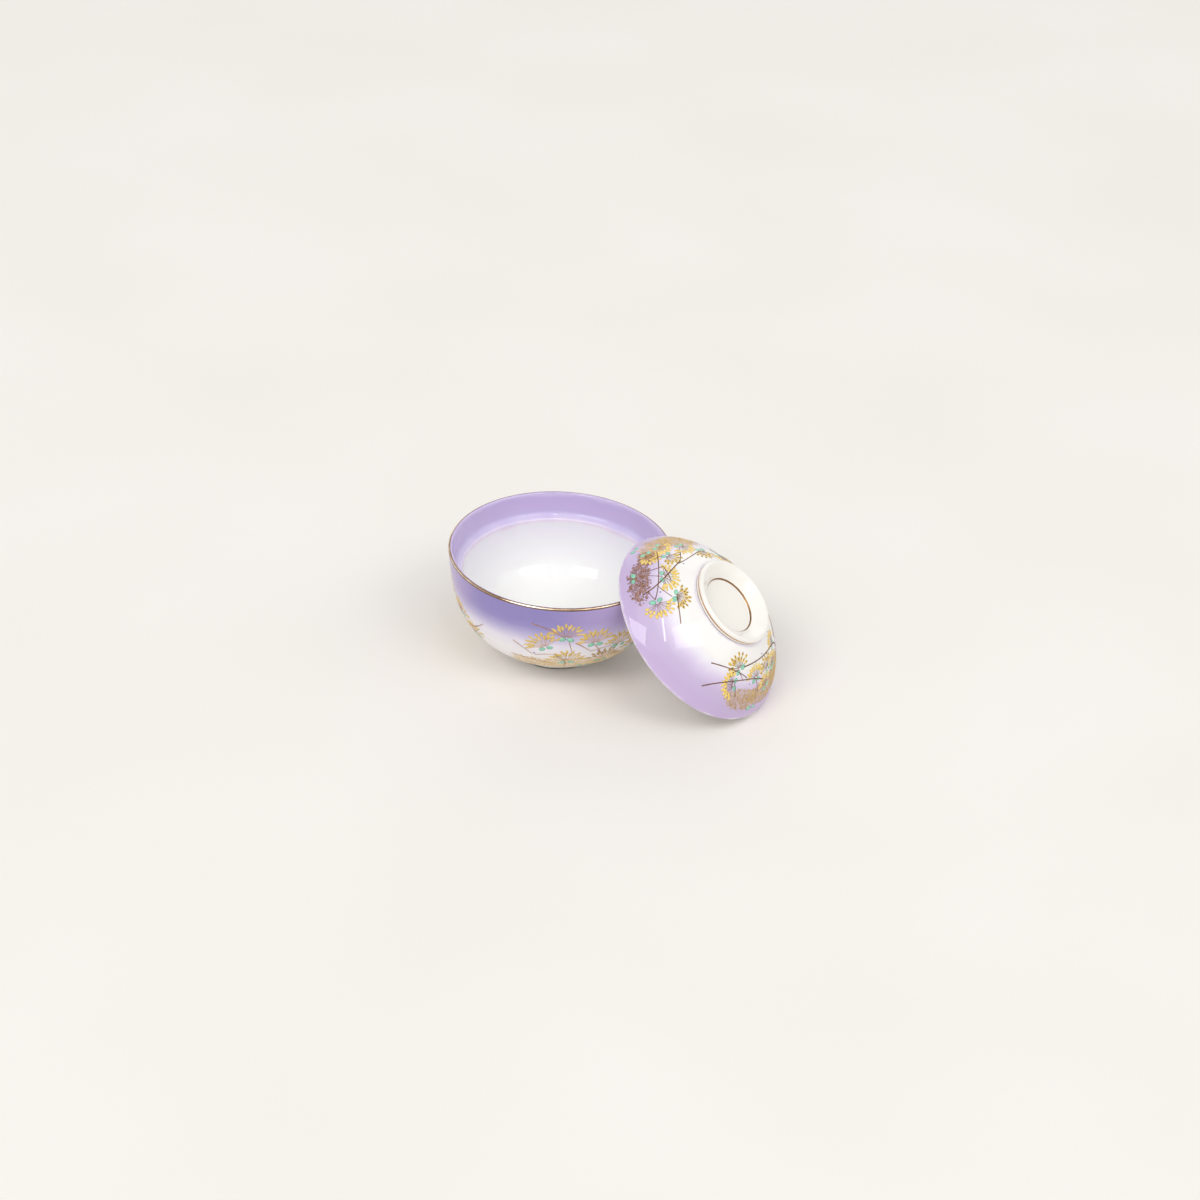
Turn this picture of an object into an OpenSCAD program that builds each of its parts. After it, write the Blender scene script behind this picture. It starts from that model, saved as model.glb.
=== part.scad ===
// A lidded porcelain dish, standing open: the round bowl stands on its foot ring,
// and its domed lid leans against it, with the rim on the table and on the bowl's lip.
// All lengths are in millimetres. The bowl's axis is Z, and the table is Z = 0.

/* [Bowl] */
// Diameter over the rounded lip
rim_d = 120; // [104:1:136]
// Height from the table to the top of the lip
bowl_h = 62.5; // [54:0.5:72]
// Thickness of the wall at the rounded lip
lip_t = 2.2; // [1.6:0.1:3]
// How much the wall thickens inwards between the lip and the seat
lip_taper = 1.4; // [0.6:0.1:2]
// Thickness of the wall round the belly
belly_wall = 3.2; // [2.6:0.1:4]

/* [Seat for the lid] */
// Depth of the seat below the top of the lip
seat_depth = 13.2; // [9:0.2:18]
// Width of the seat, from the wall to the hollow
seat_w = 4.4; // [3.6:0.1:6]
// Radius that rounds the seat's edge over the hollow
seat_round = 1.1; // [0.6:0.1:1.5]
// Radius that fills the corner between the wall and the seat
corner_round = 1.9; // [1:0.1:2.2]

/* [Foot] */
// Diameter over the foot ring
foot_d = 46; // [42:0.2:54]
// Width of the foot ring at the table
foot_w = 2.6; // [2:0.1:4]
// Height of the foot ring on the outside
foot_h = 4.2; // [3.4:0.1:5.6]
// Depth of the recess inside the foot ring
recess_h = 4.6; // [3:0.1:5.2]
// Thickness of the bowl's floor over that recess
floor_t = 4; // [3.2:0.1:6]

/* [Lid] */
// Gap all round between the lid's edge and the wall above the seat
lid_clearance = 1.9; // [1:0.1:3]
// Height of the dome, from the edge to the foot of the ring handle
dome_h = 27.2; // [22:0.2:32]
// Thickness of the lid at its rounded edge
lid_wall = 2.4; // [1.8:0.1:3]
// Thickness of the lid under the well of its ring handle
crown_t = 2.8; // [2.2:0.1:4]

/* [Ring handle] */
// Diameter of the ring handle where it meets the dome
ring_d = 48.2; // [42:0.2:56]
// Height of the ring handle above the dome
ring_h = 4.3; // [3.4:0.1:6]
// How far the ring handle's outer wall leans outwards
ring_flare = 0.4; // [0:0.1:1]
// Radius of the ring handle's rounded crest
crest_round = 1.6; // [1:0.1:2]
// Diameter of the flat well inside the ring handle
well_d = 30.6; // [26:0.2:34]
// Depth of the well below the crest
well_depth = 6.3; // [5:0.1:7.5]

/* [Gilding] */
// Thickness of the fired gold
gilt_t = 0.12; // [0.08:0.01:0.2]
// Width of each gold line round the ring handle
line_w = 0.6; // [0.4:0.05:0.9]
// Width of the gold line inside the ring handle
well_line_w = 1.1; // [0.6:0.1:1.4]

/* [How the lid leans] */
// Angle of the lid's own axis above the table
lid_lean = 48.5; // [44:0.1:54]
// Direction that the lid faces, as a turn about the bowl's axis
lid_turn = -21.8; // [-180:0.05:180]
// Clearance between the lid's edge and the bowl's lip where it leans
rest_gap = 0.25; // [0.2:0.05:0.6]

/* [Hidden] */
$fn = 144;
curve_steps = 22;
fine_steps = 6;

// Lip: a round nose whose centre circle carries both the porcelain and its gilding
rim_r = rim_d / 2;
lip_round = lip_t / 2;
lip_centre = [rim_r - lip_round, bowl_h - lip_round];
lip_core = lip_round - gilt_t;
lip_start = -10;
lip_end = 180;
lip_steps = 19;
gilt_steps = 12;
gilt_end = lip_start + (lip_end - lip_start) * gilt_steps / lip_steps;

// Seat and hollow
bore_r = rim_r - lip_t - lip_taper;
seat_z = bowl_h - seat_depth;
hollow_r = bore_r - seat_w;
floor_z = recess_h + floor_t;

// Foot
foot_r = foot_d / 2;
foot_chamfer = foot_w * 0.15;
foot_cove = foot_w * 0.2;
recess_lean = foot_w * 0.35;

// Belly: two control points as shares of its spread and rise
belly_foot = [foot_r + foot_cove, foot_h];
belly_low_shares = [0.59, 0.174];
belly_high_shares = [0.902, 0.256];
belly_top = polar(lip_centre, lip_core, lip_start);
belly_span = [rim_r - belly_foot.x, bowl_h - foot_h];
belly_low = belly_foot + scaled(belly_span, belly_low_shares);
belly_high = belly_foot + scaled(belly_span, belly_high_shares);
hollow_low = [belly_low.x - belly_wall * 0.95, floor_z];
hollow_high = [belly_high.x - belly_wall * 1.13, belly_high.y + belly_wall * 0.9];

// Lid: its own frame has the dome's axis as Z and its edge at Z = 0
lid_r = bore_r - lid_clearance;
edge_round = lid_wall / 2;
edge_centre = [lid_r - edge_round, edge_round];
edge_steps = 12;
ring_r = ring_d / 2;
dome_edge = [lid_r, edge_round];
dome_top = [ring_r, dome_h];
dome_low_shares = [0.06, 0.228];
dome_high_shares = [0.467, 0.772];
dome_low = dome_edge + scaled(dome_top - dome_edge, dome_low_shares);
dome_high = dome_edge + scaled(dome_top - dome_edge, dome_high_shares);

// Ring handle
crest_centre = [ring_r + ring_flare - crest_round, dome_h + ring_h - crest_round];
crest_z = dome_h + ring_h;
crest_end = 122;
crest_steps = 10;
wall_foot = dome_top;
wall_top = crest_centre + [crest_round, 0];
wall_length = norm(wall_top - wall_foot);
line_margin = wall_length * 0.07;
well_r = well_d / 2;
well_z = crest_z - well_depth;
well_cove = well_line_w * 0.3;
well_slope = 55;
well_wall_foot = [well_r, well_z + well_cove];
well_wall_top = polar(well_wall_foot, well_line_w, well_slope);
well_bend_shares = [0.3, 0.45];
crest_foot = polar(crest_centre, crest_round, crest_end);
well_bend = well_wall_top + scaled(crest_foot - well_wall_top, well_bend_shares);

// Inside of the lid
crown_z = well_z - crown_t;
inner_edge = [lid_r - lid_wall, edge_round];
inner_low_share = 0.13;
inner_low = [inner_edge.x, crown_z * inner_low_share];
inner_high = [dome_high.x - lid_wall * 1.25, crown_z - edge_round * 0.25];
inner_top_share = 0.31;
inner_top = [inner_edge.x * inner_top_share, crown_z];

// Leaning: the edge's centre circle stands on the table and against the lip
edge_circle_r = lid_r - edge_round;
edge_circle_z = edge_round + edge_circle_r * cos(lid_lean);
lean_steps = 22;
lean_out = edge_stand(0, rim_r + lid_r, lean_steps);
lid_place = [lean_out - edge_round * cos(lid_lean), 0,
             edge_circle_z - edge_round * sin(lid_lean)];

function scaled(size, shares) = [size.x * shares.x, size.y * shares.y];
function polar(centre, radius, angle) = centre + radius * [cos(angle), sin(angle)];

// Points along an arc or a curve, without its first point, which the stretch before it ends on
function arc(centre, radius, from, to, steps) =
    [for (i = [1:steps]) polar(centre, radius, from + (to - from) * i / steps)];
function bezier(a, b, c, d, t) =
    pow(1 - t, 3) * a + 3 * pow(1 - t, 2) * t * b + 3 * (1 - t) * t * t * c + pow(t, 3) * d;
function curve(a, b, c, d, steps) = [for (i = [1:steps]) bezier(a, b, c, d, i / steps)];

// A point along the handle's straight outer wall, and the same one moved off its face
function along_wall(way) = wall_foot + (wall_top - wall_foot) * way / wall_length;
function off_face(point, from, to, height) =
    point + height * [(to - from).y, -(to - from).x] / norm(to - from);

// How far a point of the lid's edge circle is from the bowl's lip circle.
// Below and inside the lip it counts as negative.
function lip_distance(side, up) =
    side > 0 || up > 0 ? norm([max(side, 0), max(up, 0)]) : max(side, up);
function edge_point(out, angle) =
    [out - edge_circle_r * sin(lid_lean) * sin(angle),
     edge_circle_r * cos(angle),
     edge_circle_z + edge_circle_r * cos(lid_lean) * sin(angle)];
function edge_to_lip(point) =
    lip_distance(norm([point.x, point.y]) - lip_centre.x, point.z - lip_centre.y);
function edge_gap(out) =
    min([for (angle = [0:0.5:90]) edge_to_lip(edge_point(out, angle))])
    - lip_round - edge_round;
// Halves the range until the edge stands off the lip by the rest gap
function edge_stand(near, far, steps) =
    steps == 0 ? far :
    edge_gap((near + far) / 2) < rest_gap
        ? edge_stand((near + far) / 2, far, steps - 1)
        : edge_stand(near, (near + far) / 2, steps - 1);

// Half sections
foot_section = [
    [0, recess_h],
    [foot_r - foot_w - recess_lean - foot_chamfer, recess_h],
    [foot_r - foot_w - recess_lean, recess_h - foot_chamfer],
    [foot_r - foot_w - foot_chamfer, foot_chamfer],
    [foot_r - foot_w, 0],
    [foot_r - foot_chamfer, 0],
    [foot_r, foot_chamfer],
    [foot_r, foot_h - foot_cove]];
belly_section = concat(
    [belly_foot],
    curve(belly_foot, belly_low, belly_high, belly_top, curve_steps),
    arc(lip_centre, lip_core, lip_start, lip_end, lip_steps));
seat_section = concat(
    [[bore_r, seat_z + corner_round]],
    arc([bore_r - corner_round, seat_z + corner_round], corner_round, 0, -90, fine_steps),
    [[hollow_r + seat_round, seat_z]],
    arc([hollow_r + seat_round, seat_z - seat_round], seat_round, 90, 180, fine_steps));
hollow_section = curve([hollow_r, seat_z - seat_round], hollow_high, hollow_low,
                       [0, floor_z], curve_steps);
inside_section = concat(
    [[0, crown_z], inner_top],
    curve(inner_top, inner_high, inner_low, inner_edge, curve_steps),
    arc(edge_centre, edge_round, 180, 360, edge_steps));
dome_section = curve(dome_edge, dome_low, dome_high, dome_top, curve_steps);
handle_section = concat(
    [wall_top],
    arc(crest_centre, crest_round, 0, crest_end, crest_steps),
    curve(crest_foot, well_bend, well_bend, well_wall_top, fine_steps),
    [well_wall_foot, [well_r - well_cove, well_z], [0, well_z]]);
gilt_section = concat(
    [polar(lip_centre, lip_round, lip_start)],
    arc(lip_centre, lip_round, lip_start, gilt_end, gilt_steps),
    [polar(lip_centre, lip_core, gilt_end)],
    arc(lip_centre, lip_core, gilt_end, lip_start, gilt_steps));

// Turns a half section about the upright axis
module turned(section) {
    rotate_extrude()
        polygon(section);
}

// A thin gold band on a straight face of a half section
module gold_band(from, to) {
    turned([from, to, off_face(to, from, to, gilt_t), off_face(from, from, to, gilt_t)]);
}

// Stands the lid on its edge, leaning on the bowl
module leaning() {
    rotate([0, 0, lid_turn])
        translate(lid_place)
            rotate([0, 90 - lid_lean, 0])
                children();
}

// Glazed porcelain bowl with its foot ring and the seat for the lid
module bowl_body() {
    color("lavender")
        turned(concat(foot_section, belly_section, seat_section, hollow_section));
}

// Gold fired over the outside and the top of the lip
module bowl_lip_gilding() {
    color("goldenrod")
        turned(gilt_section);
}

// Glazed porcelain lid with its ring handle
module lid_body() {
    color("plum")
        leaning()
            turned(concat(inside_section, dome_section, handle_section));
}

// Gold line round the foot of the ring handle
module lid_base_line() {
    color("goldenrod")
        leaning()
            gold_band(along_wall(line_margin), along_wall(line_margin + line_w));
}

// Second gold line, higher on the ring handle
module lid_upper_line() {
    color("goldenrod")
        leaning()
            gold_band(along_wall(wall_length - line_margin - line_w),
                      along_wall(wall_length - line_margin));
}

// Gold line low on the inner wall of the ring handle
module lid_well_line() {
    color("goldenrod")
        leaning()
            gold_band(well_wall_top, well_wall_foot);
}

bowl_body();
bowl_lip_gilding();
lid_body();
lid_base_line();
lid_upper_line();
lid_well_line();
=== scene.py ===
import math

import bmesh
import bpy
from mathutils import Matrix, Vector


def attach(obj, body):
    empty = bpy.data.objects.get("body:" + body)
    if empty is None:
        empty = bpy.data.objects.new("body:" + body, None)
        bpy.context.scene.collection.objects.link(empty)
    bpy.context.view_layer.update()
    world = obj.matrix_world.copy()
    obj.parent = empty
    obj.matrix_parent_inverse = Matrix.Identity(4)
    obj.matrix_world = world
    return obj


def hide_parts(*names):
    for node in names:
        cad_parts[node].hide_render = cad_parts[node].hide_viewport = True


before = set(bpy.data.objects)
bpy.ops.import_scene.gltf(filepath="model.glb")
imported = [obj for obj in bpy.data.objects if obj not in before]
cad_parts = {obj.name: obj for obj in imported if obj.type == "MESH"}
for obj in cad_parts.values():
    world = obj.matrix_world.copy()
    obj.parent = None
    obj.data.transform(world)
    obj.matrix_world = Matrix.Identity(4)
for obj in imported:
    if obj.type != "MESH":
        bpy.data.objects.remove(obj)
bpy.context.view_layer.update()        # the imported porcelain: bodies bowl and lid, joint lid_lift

mm = 0.001
print("frame loaded:", ", ".join(sorted(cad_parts)))


# Small helpers: one colour, one node, one tree, one mesh, one finished piece

def linearColour(hexText):
    values = [int(hexText[i:i + 2], 16) / 255 for i in (1, 3, 5)]
    return [v / 12.92 if v <= 0.04045 else ((v + 0.055) / 1.055) ** 2.4 for v in values] + [1.0]


# A kind is a node's type, or its type and its settings. The inputs are a list for the first sockets,
# or go by name or number. A node that is given as an input stands for its first output.
def addNode(tree, kind, inputs=()):
    kind, settings = kind if isinstance(kind, tuple) else (kind, {})
    node = tree.nodes.new(kind)
    for name, value in settings.items():
        setattr(node, name, value)
    for key, value in inputs.items() if isinstance(inputs, dict) else enumerate(inputs):
        if isinstance(value, bpy.types.Node):
            value = value.outputs[0]
        if isinstance(value, bpy.types.NodeSocket):
            tree.links.new(value, node.inputs[key])
        else:
            node.inputs[key].default_value = value
    return node


# Kinds that are used more than once
noise, mapRange, colourRamp = "ShaderNodeTexNoise", "ShaderNodeMapRange", "ShaderNodeValToRGB"
splitXyz, joinXyz, position = "ShaderNodeSeparateXYZ", "ShaderNodeCombineXYZ", "GeometryNodeInputPosition"
(add, subtract, multiply, divide, multiplyAdd, sine, cosine, rounded, modulo, absolute, maximum,
 arcTangent) = [("ShaderNodeMath", {"operation": name}) for name in (
     "ADD", "SUBTRACT", "MULTIPLY", "DIVIDE", "MULTIPLY_ADD", "SINE", "COSINE", "ROUND", "MODULO",
     "ABSOLUTE", "MAXIMUM", "ARCTAN2")]
vectorMultiply, vectorMultiplyAdd, vectorScale = [
    ("ShaderNodeVectorMath", {"operation": name}) for name in ("MULTIPLY", "MULTIPLY_ADD", "SCALE")]
turnRound = ("ShaderNodeVectorRotate", {"rotation_type": "Z_AXIS"})
setPosition, meshGrid = "GeometryNodeSetPosition", "GeometryNodeMeshGrid"
namedValue = ("GeometryNodeInputNamedAttribute", {"data_type": "FLOAT"})
storeValue = ("GeometryNodeStoreNamedAttribute", {"data_type": "FLOAT", "domain": "POINT"})
randomValue = ("FunctionNodeRandomValue", {"data_type": "FLOAT"})
mergeNear, realize = "GeometryNodeMergeByDistance", "GeometryNodeRealizeInstances"


# A tree with its named inputs, and the values stored on the points that it reads
def newTree(name, sockets, stored=()):
    tree = bpy.data.node_groups.new(name, "GeometryNodeTree")
    tree.is_modifier = True
    tree.interface.new_socket(name="Geometry", in_out="OUTPUT", socket_type="NodeSocketGeometry")
    for label, kind in (("Geometry", "Geometry"), *sockets):
        tree.interface.new_socket(name=label, in_out="INPUT", socket_type="NodeSocket" + kind)
    fields = {field: addNode(tree, namedValue, {"Name": field}) for field in stored}
    return tree, addNode(tree, "NodeGroupInput").outputs, fields


# Leads the geometry through the last nodes of a tree and out of it, with its finishes if it has them
def closeTree(tree, geometry, steps, *finishes):
    if finishes:
        steps = steps + [("GeometryNodeSetShadeSmooth", {}), (realize, {})]
    for kind, inputs in steps + [("GeometryNodeSetMaterial", finish) for finish in finishes]:
        geometry = addNode(tree, kind, {0: geometry, **inputs})
    addNode(tree, "NodeGroupOutput", [geometry])


def newObject(name, data):
    made = bpy.data.objects.new(name, data)
    bpy.context.scene.collection.objects.link(made)
    return made


def pointMesh(name, rows, edges=(), faces=(), **fields):
    mesh = bpy.data.meshes.new(name)
    mesh.from_pydata([tuple(r) for r in rows], list(edges), list(faces))
    for field, values in fields.items():
        mesh.attributes.new(field, "FLOAT", "POINT").data.foreach_set("value", values)
    return newObject(name, mesh)


# A line of (radius, height) points in millimetres, as a mesh of edges
def lineMesh(name, line, **fields):
    return pointMesh(name, [(r * mm, 0, z * mm) for r, z in line],
                     edges=[(i, i + 1) for i in range(len(line) - 1)], **fields)


# Runs a tree on a carrier and keeps the result as a plain mesh in its place
def madeWith(tree, name, carrier, place, **inputs):
    modifier = carrier.modifiers.new(tree.name, "NODES")
    modifier.node_group = tree
    labels = {s.name.replace(" ", "").lower(): s.identifier
              for s in tree.interface.items_tree if s.in_out == "INPUT"}
    for label, value in inputs.items():
        modifier[labels[label.lower()]] = value
    bpy.context.view_layer.update()
    finished = carrier.evaluated_get(bpy.context.evaluated_depsgraph_get())
    mesh = bpy.data.meshes.new_from_object(finished)
    bpy.data.objects.remove(carrier)
    mesh.name = name
    mesh.transform(place)
    shell = bmesh.new()
    shell.from_mesh(mesh)
    if shell.calc_volume(signed=True) < 0:
        bmesh.ops.reverse_faces(shell, faces=shell.faces)
        shell.to_mesh(mesh)
    shell.free()
    mesh.update()
    return newObject(name, mesh)


# Profile lines, in millimetres as (radius, height). Steps are the points of each curve, and a
# corner's shares are the most that it takes of a side and how far its curve is pulled outwards.
curveSteps = {
    "corner": 5, "belly": 90, "lip": 30, "wall": 8, "seatCorner": 16, "seatEdge": 12, "hollow": 80,
    "dome": 80, "edge": 24, "crest": 24, "well": 14, "inside": 70,
}
cornerShares = {"most": 0.45, "pull": 0.6}


def bezierLine(a, b, c, d, steps):
    line = []
    for i in range(1, steps + 1):
        t = i / steps
        k = ((1 - t) ** 3, 3 * (1 - t) ** 2 * t, 3 * (1 - t) * t * t, t ** 3)
        line.append(tuple(k[0] * p + k[1] * q + k[2] * r + k[3] * s for p, q, r, s in zip(a, b, c, d)))
    return line


def arcPoint(centre, radius, angle):
    turn = math.radians(angle)
    return (centre[0] + radius * math.cos(turn), centre[1] + radius * math.sin(turn))


def arcLine(centre, radius, start, end, steps):
    return [arcPoint(centre, radius, start + (end - start) * i / steps) for i in range(1, steps + 1)]


def sharePoint(start, end, shares):
    return tuple(a + (b - a) * s for a, b, s in zip(start, end, shares))


# Corners of a straight-sided line cut back to small curves, as glaze rounds them
def softened(points, radius):
    line = [points[0]]
    for before, corner, after in zip(points, points[1:], points[2:]):
        ways = []
        for other in (before, after):
            length = math.dist(corner, other)
            ways.append(sharePoint(corner, other, [min(radius / length, cornerShares["most"])] * 2))
        pulls = [sharePoint(way, corner, [cornerShares["pull"]] * 2) for way in ways]
        line += [ways[0]] + bezierLine(ways[0], *pulls, ways[1], curveSteps["corner"])
    return line + [points[-1]]


def lineLengths(points):
    lengths = [0.0]
    for a, b in zip(points, points[1:]):
        lengths.append(lengths[-1] + math.dist(a, b))
    return lengths


# The bowl, in millimetres and degrees: same sizes as its solid, but for the seat's corner, which
# pooled glaze rounds more. Pairs are shares of a span or of the wall, or a bevel's width and height.
bowlSizes = {
    "rim": 60.0, "height": 62.5, "lip": 1.1, "lipTurn": -10, "goldDepth": 0.03, "bore": 56.4,
    "seatHeight": 49.3, "seatWidth": 4.4, "seatRound": 1.1, "cornerRound": 3.1, "floor": 8.6,
    "foot": 23.0, "footWidth": 2.6, "footHeight": 4.2, "footNeck": 0.7, "footRound": 0.45,
    "innerBevel": (0.3, 0.35), "outerBevel": (0.35, 0.4), "recess": 4.6, "recessLean": 0.91,
    "bellyOut": 0.52, "bellyLow": (0.59, 0.174), "bellyHigh": (0.902, 0.256), "wall": 3.2,
    "hollowHigh": (1.13, 0.9), "hollowLow": 0.95,
}
bs = bowlSizes
lipCentre = (bs["rim"] - bs["lip"], bs["height"] - bs["lip"])
lipReach = bs["lip"] - bs["goldDepth"]
hollowRadius = bs["bore"] - bs["seatWidth"]
footInside = bs["foot"] - bs["footWidth"]
bellyFoot = (bs["foot"] + bs["bellyOut"], bs["footHeight"])
bellySpan = (bs["rim"], bs["height"])
bellyLow = sharePoint(bellyFoot, bellySpan, bs["bellyLow"])
bellyHigh = sharePoint(bellyFoot, bellySpan, bs["bellyHigh"])
lipFoot = arcPoint(lipCentre, lipReach, bs["lipTurn"])
bellyLine = [bellyFoot] + bezierLine(bellyFoot, bellyLow, bellyHigh, lipFoot, curveSteps["belly"])
footLine = softened([
    (0, bs["recess"]), (footInside - bs["recessLean"], bs["recess"]),
    (footInside - bs["innerBevel"][0], bs["innerBevel"][1]), (footInside, 0),
    (bs["foot"] - bs["outerBevel"][0], 0), (bs["foot"], bs["outerBevel"][1]),
    (bs["foot"], bs["footHeight"] - bs["footNeck"]), bellyFoot], bs["footRound"])
seatCorner = (bs["bore"] - bs["cornerRound"], bs["seatHeight"] + bs["cornerRound"])
seatEdge = (hollowRadius + bs["seatRound"], bs["seatHeight"] - bs["seatRound"])
hollowLine = bezierLine(
    (hollowRadius, seatEdge[1]),
    (bellyHigh[0] - bs["wall"] * bs["hollowHigh"][0], bellyHigh[1] + bs["wall"] * bs["hollowHigh"][1]),
    (bellyLow[0] - bs["wall"] * bs["hollowLow"], bs["floor"]), (0, bs["floor"]), curveSteps["hollow"])
lipLine = arcLine(lipCentre, lipReach, bs["lipTurn"], 180, curveSteps["lip"])
wallLine = [sharePoint(lipLine[-1], (bs["bore"], seatCorner[1]), [(i + 1) / curveSteps["wall"]] * 2)
            for i in range(curveSteps["wall"])]
bowlSection = (footLine[:-1] + bellyLine + lipLine + wallLine
               + arcLine(seatCorner, bs["cornerRound"], 0, -90, curveSteps["seatCorner"])
               + [(hollowRadius + bs["seatRound"], bs["seatHeight"])]
               + arcLine(seatEdge, bs["seatRound"], 90, 180, curveSteps["seatEdge"]) + hollowLine)

# The lid, in its own frame: the dome's axis is Z and its edge stands at Z = 0
lidSizes = {
    "edge": 54.5, "edgeRound": 1.2, "domeHeight": 27.2, "ring": 24.1, "ringHeight": 4.3,
    "ringRound": 0.35, "flare": 0.4, "crest": 1.6, "crestTurn": 122, "well": 15.3, "wellDepth": 6.3,
    "wellLine": 1.1, "wellRise": 0.3, "wellTurn": 55, "wellBend": (0.3, 0.45), "wellBevel": 0.35,
    "wellRound": 0.3, "crown": 2.8, "domeLow": (0.06, 0.228), "domeHigh": (0.467, 0.772),
    "wall": 2.4, "insideHigh": (1.25, 0.25), "insideLow": 0.13, "insideFlat": 0.31,
}
ls = lidSizes
domeEdge = (ls["edge"], ls["edgeRound"])
domeTop = (ls["ring"], ls["domeHeight"])
domeHigh = sharePoint(domeEdge, domeTop, ls["domeHigh"])
domeLine = [domeEdge] + bezierLine(domeEdge, sharePoint(domeEdge, domeTop, ls["domeLow"]),
                                   domeHigh, domeTop, curveSteps["dome"])
crestHeight = ls["domeHeight"] + ls["ringHeight"]
crestCentre = (ls["ring"] + ls["flare"] - ls["crest"], crestHeight - ls["crest"])
wellHeight = crestHeight - ls["wellDepth"]
wellFoot = (ls["well"], wellHeight + ls["wellLine"] * ls["wellRise"])
wellTop = arcPoint(wellFoot, ls["wellLine"], ls["wellTurn"])
crestFoot = arcPoint(crestCentre, ls["crest"], ls["crestTurn"])
wellBend = sharePoint(wellTop, crestFoot, ls["wellBend"])
crownHeight = wellHeight - ls["crown"]
innerEdge = (ls["edge"] - ls["wall"], ls["edgeRound"])
innerTop = (innerEdge[0] * ls["insideFlat"], crownHeight)
handleWall = [domeTop, arcPoint(crestCentre, ls["crest"], 0)]
ringFoot = softened([domeLine[-2], *handleWall], ls["ringRound"])[1:-1]
wellWall = bezierLine(crestFoot, wellBend, wellBend, wellTop, curveSteps["well"])
wellCorner = softened([wellTop, wellFoot, (ls["well"] - ls["wellBevel"], wellHeight), (0, wellHeight)],
                      ls["wellRound"])
lidInside = [(0, crownHeight), innerTop] + bezierLine(
    innerTop, (domeHigh[0] - ls["wall"] * ls["insideHigh"][0],
               crownHeight - ls["edgeRound"] * ls["insideHigh"][1]),
    (innerEdge[0], crownHeight * ls["insideLow"]), innerEdge, curveSteps["inside"])
edgeCentre = (ls["edge"] - ls["edgeRound"], ls["edgeRound"])
lidSection = (lidInside + arcLine(edgeCentre, ls["edgeRound"], 180, 360, curveSteps["edge"])
              + domeLine[1:-1] + ringFoot + [handleWall[1]]
              + arcLine(crestCentre, ls["crest"], 0, ls["crestTurn"], curveSteps["crest"])
              + wellWall + wellCorner[1:])

# Where the lid leans, as its solid does
lidPose = {"lean": 48.5, "turn": -21.8, "place": (73.655, -29.46, 35.619)}
lidPlace = (Matrix.Translation(Vector(lidPose["place"]) * mm)
            @ Matrix.Rotation(math.radians(lidPose["turn"]), 4, "Z")
            @ Matrix.Rotation(math.radians(90 - lidPose["lean"]), 4, "Y"))
places = {"bowl": Matrix.Identity(4), "lid": lidPlace}
print("profiles: bowl", len(bowlSection), "points, lid", len(lidSection), "points")


# Finishes

def newFinish(name, roughness, ior=None, metallic=0.0):
    finish = bpy.data.materials.new(name)
    finish.use_nodes = True
    shader = finish.node_tree.nodes["Principled BSDF"]
    shader.inputs["Roughness"].default_value = roughness
    shader.inputs["Metallic"].default_value = metallic
    if ior:
        shader.inputs["IOR"].default_value = ior
    return finish, finish.node_tree, shader


def fillRamp(ramp, stops, low=0.0, high=1.0):
    points = ramp.color_ramp.elements
    while len(points) < len(stops):
        points.new(0.5)
    for point, (place, hexText) in zip(points, stops):
        point.position = (place - low) / (high - low)
        point.color = linearColour(hexText)


# A colour that drifts between its stops in soft patches of a real size in millimetres
def patchyColour(tree, shader, patch, detail, stops):
    stops = list(stops)
    where = addNode(tree, "ShaderNodeTexCoord").outputs["Object"]
    patches = addNode(tree, noise, {"Vector": where, "Scale": 1 / (patch * mm), "Detail": detail})
    ramp = addNode(tree, colourRamp, [patches])
    fillRamp(ramp, stops)
    tree.links.new(ramp.outputs["Color"], shader.inputs["Base Color"])
    return where, patches


# Glazed porcelain: lilac blown on under a clear glossy glaze. The eye sees a soft cloudy edge
# where the spray thins, a very fine grain in it, and slow waves in the gloss.
sprayedGlaze = {
    "roughness": 0.02, "ior": 1.5, "cloud": 14.0, "cloudDrift": 2.2, "grain": 0.55,
    "grainDrift": 0.9, "waves": 9.0, "waveHeight": 0.012,
}


# The spray went round in a few passes: where two of them overlap it is deeper and bluer
def overlapping(tree, where, drop, colour, passes):
    sides = addNode(tree, splitXyz, [where]).outputs
    azimuth = addNode(tree, arcTangent, [sides["Y"], sides["X"]])
    phase = addNode(tree, multiplyAdd, [
        azimuth, float(passes["count"]), -passes["count"] * math.radians(passes["azimuth"])])
    overlap = addNode(tree, (mapRange, {"interpolation_type": "SMOOTHSTEP"}), {
        "Value": addNode(tree, cosine, [phase]),
        "From Min": passes["width"][0], "From Max": passes["width"][1]})
    for low, high in (passes["starts"], passes["ends"]):
        window = addNode(tree, mapRange, {"Value": drop, "From Min": low, "From Max": high})
        overlap = addNode(tree, multiply, [overlap, window])
    return addNode(tree, ("ShaderNodeMix", {"data_type": "RGBA", "blend_type": "MULTIPLY"}), {
        0: overlap, 6: colour, 7: linearColour(passes["tint"])}).outputs[2]


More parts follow.
